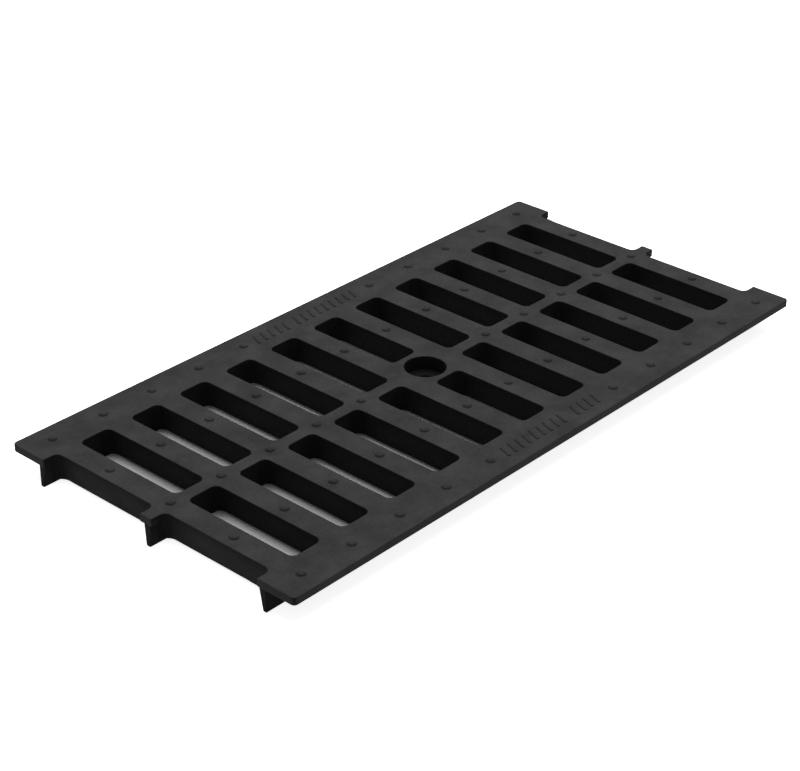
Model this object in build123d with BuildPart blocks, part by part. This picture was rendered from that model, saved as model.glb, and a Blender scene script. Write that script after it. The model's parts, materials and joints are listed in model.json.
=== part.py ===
from build123d import *
import os

os.makedirs("parts", exist_ok=True)

# Slotted cast iron grate for a drain channel, one casting, lying on the feet of its ribs.
# Millimetres. X runs along the channel, Y across it and Z up from the plane of the feet.
# The origin is under the middle of the grate.

# Outline of the casting
module_length = 500.0            # stretch of channel that one grate covers
joint_gap = 1.0                  # left free between two grates laid end to end
width = 248.0                    # over both rims
depth = 22.0                     # from the walking surface down to the feet of the ribs
deck_thickness = 5.5
corner_radius = 3.0              # of the deck, seen from above

# Slots, and the bars that stand between them
side_slot_count = 5              # whole slots on each side of the middle one
slot_width = 23.9                # along the channel, at the walking surface
slot_corner_radius = 4.5
slot_draft = 3.4                 # how far the sides of a slot have drawn back at the bars' feet
bar_setback = 2.0                # the bars stop this much above the feet of the ribs

# Ribs that run the whole length
seat_width = 200.0               # over the outer faces of the two side ribs
side_rib_root = 6.0
side_rib_foot = 3.0
rim_root_radius = 2.0            # in the corner under each rim
spine_width = 9.7                # band of deck between the two rows of slots
centre_rib_root = 5.0
centre_rib_foot = 2.5
rib_end_setback = 1.3            # the ribs stop this much short of the ends of the deck

# Boss in the middle, with the hole of the locking bolt
bolt_hole_diameter = 14.0
head_recess_diameter = 28.6
head_recess_depth = 10.5
boss_wall = 4.5                  # left between the recess and the slots beside it
boss_draft = 1.5

# Raised grip studs
stud_diameter = 6.0
stud_height = 1.2
stud_taper = 15.0
stud_sides = 8                   # a plan of short straight sides stands for a circle this small
rim_stud_inset = 14.6            # from the long edge of the deck to the studs on the rim

# Worked out from the sizes above
length = module_length - joint_gap
bar_count = 2 * (side_slot_count + 1)
pitch = module_length / bar_count
deck_underside = depth - deck_thickness
slot_outer_end = seat_width / 2 - side_rib_root
boss_end = head_recess_diameter / 2 + boss_wall
rim_stud_row = width / 2 - rim_stud_inset
slot_stud_row = rim_stud_row / 2

# Distance of the ribs' drafted faces from the middle of the grate, at the ribs' feet and, on the
# way up to the deck, at the bars' feet
side_rib_face = seat_width / 2 - side_rib_foot
centre_rib_face = centre_rib_foot / 2
drawn = bar_setback / deck_underside
side_rib_face_at_bars = side_rib_face + drawn * (slot_outer_end - side_rib_face)
centre_rib_face_at_bars = centre_rib_face + drawn * (spine_width / 2 - centre_rib_face)


def slot_space(deck_inner_end, root_inner_end, foot_inner_end):
    """Space of one slot: straight through the deck, then wider from there down to the bars' feet.

    The three inner ends say how far from the middle of the grate the slot starts at each level.
    """
    foot_outer_end = side_rib_face_at_bars
    foot_width = slot_width + 2 * slot_draft
    foot_corner_radius = slot_corner_radius + slot_draft
    with BuildPart() as space:
        with BuildSketch(Plane.XY.offset(deck_underside)):
            with Locations((0, (deck_inner_end + slot_outer_end) / 2)):
                RectangleRounded(slot_width, slot_outer_end - deck_inner_end, slot_corner_radius)
        extrude(amount=deck_thickness)
        with BuildSketch(Plane.XY.offset(deck_underside)):
            with Locations((0, (root_inner_end + slot_outer_end) / 2)):
                RectangleRounded(slot_width, slot_outer_end - root_inner_end, slot_corner_radius)
        with BuildSketch(Plane.XY.offset(bar_setback)):
            with Locations((0, (foot_inner_end + foot_outer_end) / 2)):
                RectangleRounded(foot_width, foot_outer_end - foot_inner_end, foot_corner_radius)
        loft(ruled=True)
    return space.part


# A slot with its twin across the spine. In the half slots at the two ends the spine overhangs the
# centre rib, and in the middle the boss shortens both slots.
with BuildPart() as slot_pair:
    add(slot_space(spine_width / 2, spine_width / 2, centre_rib_face_at_bars))
    mirror(about=Plane.XZ)
with BuildPart() as end_slot_pair:
    add(slot_space(spine_width / 2, centre_rib_root / 2, centre_rib_face_at_bars))
    mirror(about=Plane.XZ)
with BuildPart() as boss_slot_pair:
    add(slot_space(boss_end, boss_end, boss_end - boss_draft))
    mirror(about=Plane.XZ)

# Space between the ribs, under the feet of the bars
with BuildPart() as space_under_bars:
    with BuildSketch(Plane.YZ):
        with BuildLine():
            Polyline(
                (centre_rib_face, 0),
                (side_rib_face, 0),
                (side_rib_face_at_bars, bar_setback),
                (centre_rib_face_at_bars, bar_setback),
                close=True,
            )
        make_face()
    extrude(amount=length / 2, both=True)
    mirror(about=Plane.XZ)

with BuildPart() as grate:
    # Body between the outer faces of the side ribs, and the deck over it
    with BuildSketch(Plane.XY):
        Rectangle(length - 2 * rib_end_setback, seat_width)
    extrude(amount=deck_underside)
    with BuildSketch(Plane.XY.offset(deck_underside)):
        RectangleRounded(length, width, corner_radius)
    extrude(amount=deck_thickness)

    # Corner under each rim, along the outer face of the side rib
    rim_roots = grate.edges().filter_by(Axis.X).filter_by(
        lambda edge: abs(edge.center().Z - deck_underside) < 0.01
        and abs(abs(edge.center().Y) - seat_width / 2) < 0.01
    )
    fillet(rim_roots, rim_root_radius)

    # The slots stand one pitch apart, so that each end of the casting is half a slot
    side_slots = [sign * (i + 1) * pitch for i in range(side_slot_count) for sign in (-1, 1)]
    with Locations(*[(x, 0) for x in side_slots]):
        add(slot_pair.part, mode=Mode.SUBTRACT)
    with Locations((-module_length / 2, 0), (module_length / 2, 0)):
        add(end_slot_pair.part, mode=Mode.SUBTRACT)
    add(boss_slot_pair.part, mode=Mode.SUBTRACT)
    add(space_under_bars.part, mode=Mode.SUBTRACT)

    # Locking bolt: a recess for its head and a clearance hole for its shank
    with Locations((0, 0, depth)):
        CounterBoreHole(
            radius=bolt_hole_diameter / 2,
            counter_bore_radius=head_recess_diameter / 2,
            counter_bore_depth=head_recess_depth,
        )

    # Raised studs: one on every bar near the middle of each row of slots, and on the rims and the
    # spine one beside every bar but the two in the middle
    bars = [sign * (i + 0.5) * pitch for i in range(side_slot_count + 1) for sign in (-1, 1)]
    studs = [(x, y) for x in bars for y in (-slot_stud_row, slot_stud_row)]
    studs += [(x, y) for x in bars if abs(x) > pitch for y in (-rim_stud_row, 0, rim_stud_row)]
    with BuildSketch(Plane.XY.offset(depth)):
        with Locations(*studs):
            RegularPolygon(stud_diameter / 2, stud_sides)
    extrude(amount=stud_height, taper=stud_taper)

grate.part.label = "grate"
export_step(grate.part, "parts/grate.step")
print("studs", len(studs), "volume in cm3", round(grate.part.volume / 1000, 1))
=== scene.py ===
# %% [markdown]
# # Dressing a cast iron channel grate
#
# The part is one iron casting, dipped in black coating. It covers a half metre of drainage channel:
# a flat deck with two rows of slots, three long ribs underneath, and a hole for a locking bolt.
#
# The solid model already has the right form and size, so nothing here changes either. What a casting
# has and a plain solid lacks is soft edges, rounded studs and a slightly grainy skin. That is the work
# of this notebook, cell by cell.

import json
import math

import bmesh
import bpy
from mathutils import Matrix, Vector

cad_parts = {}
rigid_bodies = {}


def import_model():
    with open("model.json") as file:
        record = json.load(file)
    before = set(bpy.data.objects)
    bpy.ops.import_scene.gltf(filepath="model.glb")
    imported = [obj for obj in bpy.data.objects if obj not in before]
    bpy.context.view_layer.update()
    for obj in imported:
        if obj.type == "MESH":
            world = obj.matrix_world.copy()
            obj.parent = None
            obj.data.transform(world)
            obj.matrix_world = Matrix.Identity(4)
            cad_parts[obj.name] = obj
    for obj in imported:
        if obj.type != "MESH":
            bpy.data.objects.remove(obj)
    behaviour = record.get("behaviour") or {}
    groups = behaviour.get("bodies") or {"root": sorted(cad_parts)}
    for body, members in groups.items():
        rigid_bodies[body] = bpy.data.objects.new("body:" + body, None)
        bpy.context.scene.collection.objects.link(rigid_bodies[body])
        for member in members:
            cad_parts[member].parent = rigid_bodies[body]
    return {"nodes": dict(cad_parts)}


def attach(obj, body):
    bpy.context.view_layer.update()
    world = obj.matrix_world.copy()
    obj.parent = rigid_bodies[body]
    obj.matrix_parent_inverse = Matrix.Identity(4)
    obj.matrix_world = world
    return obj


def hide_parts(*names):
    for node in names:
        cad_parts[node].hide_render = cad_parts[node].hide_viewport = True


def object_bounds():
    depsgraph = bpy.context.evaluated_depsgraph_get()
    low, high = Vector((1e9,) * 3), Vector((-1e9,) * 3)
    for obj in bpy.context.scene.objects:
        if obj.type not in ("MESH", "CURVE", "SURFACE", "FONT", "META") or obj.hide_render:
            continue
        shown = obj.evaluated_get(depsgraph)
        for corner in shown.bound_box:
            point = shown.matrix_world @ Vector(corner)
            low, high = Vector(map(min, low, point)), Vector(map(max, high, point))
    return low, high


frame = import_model()
cad_low, cad_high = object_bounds()
print("solid from", tuple(round(v, 4) for v in cad_low), "to", tuple(round(v, 4) for v in cad_high))

# %% [markdown]
# ## The camera
#
# A camera can be placed by eye, by an add-on that reads vanishing points, or by fitting. Here the
# corners of the deck and the ends of its slots were matched to the picture by least squares, because
# a slotted plate shows even a small error in the angle. The result is a place, two axes and a focal
# length, which are set directly.

# %% Camera at the angle of the photograph
scene = bpy.context.scene
camera_data = bpy.data.cameras.new("camera")
camera_data.sensor_width = 36.0
camera_data.lens = 94.0
camera_data.shift_x = -0.000625
camera_data.shift_y = 0.000625
camera = bpy.data.objects.new("camera", camera_data)
scene.collection.objects.link(camera)
scene.camera = camera

right = Vector((0.6714, -0.7410, 0.0059))
up = Vector((0.3616, 0.3345, 0.8703))
turn = Matrix((right, up, right.cross(up))).transposed().to_4x4()
camera.matrix_world = Matrix.Translation((-0.9186, -0.8046, 0.6979)) @ turn
print("camera is", round(camera.location.length, 3), "m from the origin")

# %% [markdown]
# ## The body of the casting
#
# Molten iron does not fill a sharp corner, so the real grate has soft edges, with about half a
# millimetre of rounding. Those edges catch the light, and a render without them looks like cardboard.
#
# The form could be built again from boxes and booleans, or a bevel could be faked in the shader. The
# mesh of the solid is copied here and beveled, because then the slots, the draft of their walls and
# the ribs stay exactly where the solid has them, and the rounding is real geometry.
#
# The solid stands in for each round stud with a coarse one of eight sides. Those come off the copy.

# %% Copy the solid and take off its coarse studs
stud_height = 0.0012
deck_top = cad_high[2] - stud_height
coarse_stud_sides = 8
hair = 1e-5                      # heights closer than this are the same

def casting_from(node):
    """A welded copy of the solid's mesh, with its flat faces whole again and no studs on the deck."""
    mesh = bmesh.new()
    mesh.from_mesh(node.data)
    bmesh.ops.remove_doubles(mesh, verts=mesh.verts, dist=1e-6)
    studs = [f for f in mesh.faces if max(v.co.z for v in f.verts) > deck_top + hair]
    bmesh.ops.delete(mesh, geom=studs, context="FACES")
    open_edges = [e for e in mesh.edges if e.is_boundary]
    bmesh.ops.holes_fill(mesh, edges=open_edges, sides=coarse_stud_sides)
    flat = math.radians(0.5)
    bmesh.ops.dissolve_limit(mesh, angle_limit=flat, verts=mesh.verts, edges=mesh.edges)
    return mesh

casting = casting_from(frame["nodes"]["grate"])
print("faces of the body:", len(casting.faces), "open edges:", sum(e.is_boundary for e in casting.edges))

# %% [markdown]
# A Bevel modifier can find its edges by their angle, or take those that carry a weight. Weights are
# used here, because some edges have to stay out. The walls of a slot turn in facets of eight degrees at
# its corners and lean out by thirteen degrees below the deck. A limit of thirty degrees leaves all that
# smooth and takes every true edge.
#
# In three places there is no room for a rounding, so they keep their plain edges. The underside of a
# bar runs out in a fine point where the round corner of a slot meets a rib. The bolt hole cuts through
# the narrow foot of the centre rib. And at each end of the grate the deck overhangs that rib, with a
# ledge that also runs out in a point.

# %% Weigh the edges
edge_radius = 0.0006
true_edge = math.radians(30)
bar_foot = 0.002                 # height of the bars' undersides
deck_underside = 0.0165
side_rib_face = 0.0966           # the ribs' faces, across the grate, at that height
centre_rib_face = 0.0017
bolt_hole_radius = 0.007
ledge_reach = 0.010              # the ledges lie this near to the middle line,
ledge_ends = (0.230, 0.248)      # and between these distances along it

def cramped(vertex):
    """True in a point of a bar's underside or of a ledge, and on the rib's foot at the bolt hole."""
    x, y, z = abs(vertex.co.x), abs(vertex.co.y), vertex.co.z
    by_rib = y > side_rib_face - 2 * edge_radius or y < centre_rib_face + 2 * edge_radius
    at_hole = vertex.co.xy.length < bolt_hole_radius + edge_radius
    if by_rib and (abs(z - bar_foot) < hair or at_hole and z < bar_foot):
        return True
    return abs(z - deck_underside) < hair and y < ledge_reach and ledge_ends[0] < x < ledge_ends[1]

def weigh_edges(mesh):
    """Full weight for each true edge that has room for a rounding. The others are marked as sharp."""
    weight = mesh.edges.layers.float.new("bevel_weight_edge")
    counts = {"round": 0, "sharp": 0}
    for edge in mesh.edges:
        if not edge.is_manifold or edge.calc_face_angle() < true_edge:
            continue
        if any(cramped(v) for v in edge.verts):
            edge.smooth = False
            counts["sharp"] += 1
        else:
            edge[weight] = 1.0
            counts["round"] += 1
    return counts

print("edges:", weigh_edges(casting))

# %% [markdown]
# ## The grip studs
#
# Fifty-four low round studs keep a wet grate from being slippery. Each is a small dome with a flat
# crown and a fillet where it runs into the deck, so that it shows as a darker ring, which the material
# deepens with painted shade on its slopes. A lathe is the natural tool for that: one profile, turned
# about an upright axis and set down at every place.

# %% Turn one stud
def turned(mesh, profile, x, y, z, sides):
    """Adds the profile, a list of radius and height, turned about an upright axis at x, y, z."""
    rings = []
    for radius, height in profile:
        if radius == 0:
            rings.append([mesh.verts.new((x, y, z + height))])
            continue
        angles = [2 * math.pi * k / sides for k in range(sides)]
        rings.append([mesh.verts.new((x + radius * math.cos(a), y + radius * math.sin(a), z + height))
                      for a in angles])
    for low, high in zip(rings, rings[1:]):
        for k in range(sides):
            n = (k + 1) % sides
            if len(high) == 1:
                mesh.faces.new((low[k], low[n], high[0]))
            else:
                mesh.faces.new((low[k], low[n], high[n], high[k]))
    mesh.faces.new(rings[0][::-1])

mm = 0.001
profile_in_mm = [(3.75, -0.30), (3.60, 0.00), (3.34, 0.06), (3.10, 0.20), (2.90, 0.42), (2.66, 0.70),
                 (2.36, 0.94), (2.00, 1.10), (1.55, 1.18), (1.10, 1.20), (0, 1.20)]
stud_profile = [(radius * mm, height * mm) for radius, height in profile_in_mm]
print("stud is", 2 * profile_in_mm[1][0], "mm wide at the deck and", profile_in_mm[-1][1], "mm high")

# %% Set the studs down
module_length = 0.500
bar_count = 12
pitch = module_length / bar_count
rim_row = cad_high[1] - 0.0146
bars = [(i + 0.5) * pitch for i in range(-bar_count // 2, bar_count // 2)]
stud_places = [(x, y) for x in bars for y in (-rim_row / 2, rim_row / 2)]
stud_places += [(x, y) for x in bars if abs(x) > pitch for y in (-rim_row, 0, rim_row)]
for x, y in stud_places:
    turned(casting, stud_profile, x, y, deck_top, sides=24)
print("studs:", len(stud_places))

# %% [markdown]
# ## The grip bars on the rims
#
# Near the middle of each rim lie two short rows of plain slanted bars in low relief. They give grip,
# and they break up the line of light along the rim. Each bar is a small block with rounded upper
# edges. A block is quicker than a sweep here, because every bar is straight.

# %% Lay the grip bars
bar_length = 0.0110
bar_width = 0.0022
bar_height = 0.0005
bar_sunk = 0.0003                # below the deck, so that no gap shows under the bar
bar_rounding = 0.0003
bar_lean = math.radians(20)

def grip_bar(mesh, x, y):
    """Adds one bar that lies across the rim, with its upper and upright edges rounded."""
    made = bmesh.new()
    bmesh.ops.create_cube(made, size=1.0)
    bmesh.ops.scale(made, vec=(bar_width, bar_length, bar_height + bar_sunk), verts=made.verts)
    upper = [e for e in made.edges if all(v.co.z > 0 for v in e.verts)]
    upright = [e for e in made.edges if abs(e.verts[0].co.z - e.verts[1].co.z) > hair]
    bmesh.ops.bevel(made, geom=upper + upright, offset=bar_rounding, offset_type="OFFSET",
                    segments=2, profile=0.5, affect="EDGES")
    place = Matrix.Translation((x, y, deck_top + (bar_height - bar_sunk) / 2))
    bmesh.ops.transform(made, matrix=place @ Matrix.Rotation(-bar_lean, 4, "Z"), verts=made.verts)
    copy = bpy.data.meshes.new("bar")
    made.to_mesh(copy)
    made.free()
    mesh.from_mesh(copy)
    bpy.data.meshes.remove(copy)

bar_step = 0.0070
rows = [(rim_row, -0.050, 5), (rim_row, -0.011, 9), (-rim_row, -0.048, 9), (-rim_row, 0.022, 4)]
bar_places = [(start + k * bar_step, y) for y, start, count in rows for k in range(count)]
for x, y in bar_places:
    grip_bar(casting, x, y)
print("grip bars:", len(bar_places))

# %% [markdown]
# ## From the mesh to the piece
#
# Smooth shading spreads the normal of a vertex over its faces, which would make the flat deck look
# swollen near its edges. The Weighted Normal modifier lets the large flat faces win, so that only the
# narrow bevels turn, and it keeps the edges crisp that were marked as sharp.

# %% Make the piece
def to_piece(mesh, name):
    """A smooth shaded object from the mesh, riding on the casting."""
    data = bpy.data.meshes.new(name)
    mesh.normal_update()
    mesh.to_mesh(data)
    mesh.free()
    data.polygons.foreach_set("use_smooth", [True] * len(data.polygons))
    piece = bpy.data.objects.new(name, data)
    scene.collection.objects.link(piece)
    rounding = piece.modifiers.new("soft edges", "BEVEL")
    rounding.limit_method = "WEIGHT"
    rounding.offset_type = "OFFSET"
    rounding.width = edge_radius
    rounding.segments = 3
    rounding.use_clamp_overlap = False
    shading = piece.modifiers.new("flat faces win", "WEIGHTED_NORMAL")
    shading.mode = "FACE_AREA"
    shading.weight = 80
    shading.keep_sharp = True
    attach(piece, "root")
    return piece

grate = to_piece(casting, "grate_casting")
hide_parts("grate")
shown = grate.evaluated_get(bpy.context.evaluated_depsgraph_get()).data
print("triangles:", sum(len(p.vertices) - 2 for p in shown.polygons))

# %% [markdown]
# ## Helpers for node trees
#
# A material is a graph, and a graph that is written out link by link is hard to read. The steps that
# come back are a node with its settings, the three parts of a vector, a sum, a change of range and a
# blend of two tones. Each gets a small function that takes sockets or plain values and gives back the
# socket with the result, so that the materials below read like formulas.

# %% Helpers for node trees
def add_node(tree, kind, **settings):
    """A new node with its properties and inputs set by name."""
    node = tree.nodes.new(kind)
    for name, value in settings.items():
        if name in node.inputs:
            node.inputs[name].default_value = value
        else:
            setattr(node, name, value)
    return node

def feed(tree, value, entry):
    """Gives an input its value: a link if the value is a socket, and a constant if it isn't."""
    if isinstance(value, bpy.types.NodeSocket):
        tree.links.new(value, entry)
    else:
        entry.default_value = value

def split(tree, vector):
    """The three parts of a vector, as sockets named X, Y and Z."""
    node = add_node(tree, "ShaderNodeSeparateXYZ")
    feed(tree, vector, node.inputs["Vector"])
    return node.outputs

def calculate(tree, operation, *values):
    """The result of a Math node on its one, two or three values."""
    node = add_node(tree, "ShaderNodeMath", operation=operation)
    for value, entry in zip(values, node.inputs):
        feed(tree, value, entry)
    return node.outputs[0]

def remap(tree, value, low, high, to_low=0.0, to_high=1.0):
    """The value with the range low to high laid on another range and held at its ends."""
    node = add_node(tree, "ShaderNodeMapRange")
    for name, number in (("From Min", low), ("From Max", high), ("To Min", to_low), ("To Max", to_high)):
        node.inputs[name].default_value = number
    feed(tree, value, node.inputs["Value"])
    return node.outputs["Result"]

def blend(tree, factor, first, second):
    """A tone that is the first where the factor is 0 and the second where it is 1."""
    node = add_node(tree, "ShaderNodeMix", data_type="RGBA")
    for name, value in (("Factor", factor), ("A", first), ("B", second)):
        feed(tree, value, node.inputs[name])
    return node.outputs["Result"]

def grey(level):
    """A neutral tone of this brightness."""
    return (level, level, level, 1)

print("full white is", grey(1.0))

# %% [markdown]
# ## Black coated iron
#
# Sand leaves its grain on a casting. The dip coating fills the finest of it and dries matte, a
# neutral black that is a shade lighter where it is thin. The walls and the underside keep that deep
# black, which also stands in for their shade. The walking surface is painted a lighter dark grey as
# painted light from above, and so are the outer faces of the rims, as painted light from the white
# ground. What stands above that surface, the studs and the grip bars, gets less of it and is painted
# darker, as painted shade.
#
# A light and shade texture painted by hand would need an unwrap. Here the skin is worked out from the
# place and the slope of the surface, in a node group that puts out a height for the bump, a mask for the
# tone, a mask for the painted light and a roughness. The shader itself stays in the material.

# %% Masks for the painted light
# Painted light: between these heights the deck turns from the walls' black to the lighter grey, as if
# lit from above.
painted_lit_top_starts = deck_top - 2 * edge_radius
painted_lit_top_full = deck_top - edge_radius / 3
relief_starts = deck_top + 0.00005
relief_full = deck_top + 0.00030
painted_light_on_relief = 0.75            # share of the painted light that the studs and the grip bars keep, so they are painted darker

def painted_lit_top(tree, place, normal):
    """Painted light: 1 on the deck, less on what stands above it, and 0 on the walls and the underside.
    """
    level = remap(tree, place["Z"], painted_lit_top_starts, painted_lit_top_full)
    # Faces that turn away from the sky get less painted light, which paints a darker ring of shade round
    # each stud.
    upward = remap(tree, normal["Z"], 0.35, 0.90)
    # What stands above the deck keeps only part of the painted light, as painted shade on the studs and
    # grip bars.
    relief = remap(tree, place["Z"], relief_starts, relief_full, 1.0, painted_light_on_relief)
    return calculate(tree, "MULTIPLY", calculate(tree, "MULTIPLY", level, upward), relief)

# Painted light: the outermost faces of the rims get the lighter grey, standing in for the light that
# they catch from the white ground.
painted_lit_face_starts = 0.0008            # measured inwards from the outermost faces
painted_lit_face_full = 0.0002

def painted_lit_outer_faces(tree, place):
    """Painted light: 1 on the outermost faces of the casting and 0 further in."""
    masks = []
    for axis, reach in (("X", cad_high[0]), ("Y", cad_high[1])):
        distance = calculate(tree, "ABSOLUTE", place[axis])
        masks.append(remap(tree, distance, reach - painted_lit_face_starts, reach - painted_lit_face_full))
    return calculate(tree, "MAXIMUM", *masks)

print("dust between the heights", round(painted_lit_top_starts, 4), "and", round(painted_lit_top_full, 4))

# %% Node group for the cast skin
def cast_skin_and_light_group():
    """Height, tone, painted light mask and roughness of sand cast iron under a matte coating."""
    group = bpy.data.node_groups.new("cast skin and painted light", "ShaderNodeTree")
    for name in ("Grain per metre", "Patch per metre"):
        group.interface.new_socket(name, in_out="INPUT", socket_type="NodeSocketFloat")
    for name in ("Height", "Tone", "Painted light", "Roughness"):
        group.interface.new_socket(name, in_out="OUTPUT", socket_type="NodeSocketFloat")
    inside = add_node(group, "NodeGroupInput")
    outside = add_node(group, "NodeGroupOutput")
    where = add_node(group, "ShaderNodeTexCoord")

    def noise(fineness, detail, roughness):
        node = add_node(group, "ShaderNodeTexNoise", Detail=detail, Roughness=roughness)
        feed(group, where.outputs["Object"], node.inputs["Vector"])
        feed(group, inside.outputs[fineness], node.inputs["Scale"])
        return node.outputs["Fac"]

    grain = noise("Grain per metre", 3.0, 0.6)
    patch = noise("Patch per metre", 4.0, 0.55)
    waves = calculate(group, "MULTIPLY", patch, 1.5)
    mottle = calculate(group, "MULTIPLY_ADD", grain, 0.30, patch)

    place = split(group, where.outputs["Object"])
    # The mask for the painted light: lighter on the deck and on the outermost faces.
    lit_top_mask = painted_lit_top(group, place, split(group, where.outputs["Normal"]))
    painted_light_mask = calculate(group, "MAXIMUM", lit_top_mask, painted_lit_outer_faces(group, place))

    # Noise keeps near the middle of its range, so the tone and the roughness are stretched from there
    feed(group, calculate(group, "ADD", grain, waves), outside.inputs["Height"])
    feed(group, remap(group, mottle, 0.49, 0.81), outside.inputs["Tone"])
    feed(group, painted_light_mask, outside.inputs["Painted light"])
    feed(group, remap(group, patch, 0.3, 0.7, 0.62, 0.76), outside.inputs["Roughness"])
    return group

cast_skin_and_light = cast_skin_and_light_group()
print("outputs of the group:", [s.name for s in cast_skin_and_light.interface.items_tree if s.in_out == "OUTPUT"])

# %% The coating itself
coat_tones = (grey(0.0060), grey(0.0094))
# Painted light: the lighter tones stand in for the light on the deck and on the outer faces of the rims.
painted_lit_tones = ((0.0240, 0.0240, 0.0242, 1), (0.0430, 0.0430, 0.0433, 1))

def coated_iron():
    """Deep black on the walls, and a lighter dark grey painted as light on the deck and the outer faces.
    """
    material = bpy.data.materials.new("black coated iron")
    material.use_nodes = True
    tree = material.node_tree
    shader = tree.nodes["Principled BSDF"]
    skin = add_node(tree, "ShaderNodeGroup", node_tree=cast_skin_and_light)
    skin.inputs["Grain per metre"].default_value = 420
    skin.inputs["Patch per metre"].default_value = 45

    coat = blend(tree, skin.outputs["Tone"], *coat_tones)
    painted_lit = blend(tree, skin.outputs["Tone"], *painted_lit_tones)
    # The painted light mask lays the lighter tones over the black of the coat.
    feed(tree, blend(tree, skin.outputs["Painted light"], coat, painted_lit), shader.inputs["Base Color"])
    feed(tree, skin.outputs["Roughness"], shader.inputs["Roughness"])
    shader.inputs["Specular IOR Level"].default_value = 0.04

    bump = add_node(tree, "ShaderNodeBump", Strength=0.45, Distance=0.0002)
    feed(tree, skin.outputs["Height"], bump.inputs["Height"])
    feed(tree, bump.outputs["Normal"], shader.inputs["Normal"])
    return material

iron = coated_iron()
grate.data.materials.clear()
grate.data.materials.append(iron)
print("material:", iron.name)

# %% [markdown]
# ## The white ground
#
# The grate lies on a white ground. Its white comes from the floor's own material, not from more light
# on the object. What the camera sees, also in a mirror or through glass, is a full white that still
# takes the shadow. To light that it scatters it is a plain grey.
#
# Around the grate the floor also has a painted glow, seen only by the camera and in mirrors, which
# thins the shadow beside the rims. Between the ribs the glow is faint, and the slots stay as deep as
# they look in life. Nothing here reflects more light than meets it, because a denoiser leaves grain on
# a surface that does.

# %% Floor
def floor_plane(size):
    """A square sheet under the grate, which belongs to the studio and not to the object."""
    mesh = bmesh.new()
    bmesh.ops.create_grid(mesh, x_segments=1, y_segments=1, size=size / 2)
    data = bpy.data.meshes.new("floor")
    mesh.to_mesh(data)
    mesh.free()
    plane = bpy.data.objects.new("floor", data)
    scene.collection.objects.link(plane)
    return plane

floor = floor_plane(12.0)
print("floor at height", round(floor.location.z, 4))

# %% White ground
end_bar_face = 0.2320            # from the middle of the grate, along it
rib_outer_face = 0.100           # and across it

def seen_directly(tree):
    """1 for what the camera sees, also in a mirror or through glass, and 0 for scattered light."""
    path = add_node(tree, "ShaderNodeLightPath").outputs
    mirrored = calculate(tree, "MAXIMUM", path["Is Camera Ray"], path["Is Glossy Ray"])
    return calculate(tree, "MAXIMUM", mirrored, path["Is Transmission Ray"])

def beside_the_grate(tree):
    """1 on the ground beyond the end bars or the side ribs, and 0 between them."""
    place = split(tree, add_node(tree, "ShaderNodeTexCoord").outputs["Object"])
    past_ends = calculate(tree, "GREATER_THAN", calculate(tree, "ABSOLUTE", place["X"]), end_bar_face)
    past_ribs = calculate(tree, "GREATER_THAN", calculate(tree, "ABSOLUTE", place["Y"]), rib_outer_face)
    return calculate(tree, "MAXIMUM", past_ends, past_ribs)

def white_ground():
    """White to the camera, grey to scattered light, and with a painted glow beside the grate."""
    material = bpy.data.materials.new("white ground")
    material.use_nodes = True
    tree = material.node_tree
    shader = tree.nodes["Principled BSDF"]
    shader.inputs["Roughness"].default_value = 1.0
    shader.inputs["Specular IOR Level"].default_value = 0.0
    seen = seen_directly(tree)
    feed(tree, blend(tree, seen, grey(0.5), grey(1.0)), shader.inputs["Base Color"])
    # Painted light: the glow is strong beside the grate, to thin its shadow there, and faint between the
    # ribs.
    painted_glow = calculate(tree, "MULTIPLY", beside_the_grate(tree), seen)
    feed(tree, blend(tree, painted_glow, grey(0.02), grey(0.85)), shader.inputs["Emission Color"])
    shader.inputs["Emission Strength"].default_value = 1.0
    return material

floor.data.materials.append(white_ground())
print("floor takes", floor.data.materials[0].name)

# %% [markdown]
# ## World and lamp
#
# The light is soft and comes from above and a little behind, as on a packing table under one large
# lamp. That leaves the walls that face the camera in their own shade, as in the picture. Several small
# lamps would each draw an edge of their own in the slots. So one plain area light does the work, and
# the world adds a weak fill.

# %% World and lamp
world = bpy.data.worlds.new("studio")
scene.world = world
world.use_nodes = True
sky = world.node_tree
feed(sky, blend(sky, seen_directly(sky), grey(0.25), grey(1.0)), sky.nodes["Background"].inputs["Color"])

lamp_data = bpy.data.lights.new("overhead", "AREA")
lamp_data.shape = "SQUARE"
lamp_data.size = 2.2
lamp_data.energy = 44
lamp = bpy.data.objects.new("overhead", lamp_data)
scene.collection.objects.link(lamp)
lamp.location = (0.4, 0.3, 1.75)
lamp.rotation_euler = (-lamp.location).to_track_quat("-Z", "Y").to_euler()
scene.view_settings.view_transform = "Standard"
print("lamp", lamp_data.energy, "W at", tuple(round(v, 2) for v in lamp.location))
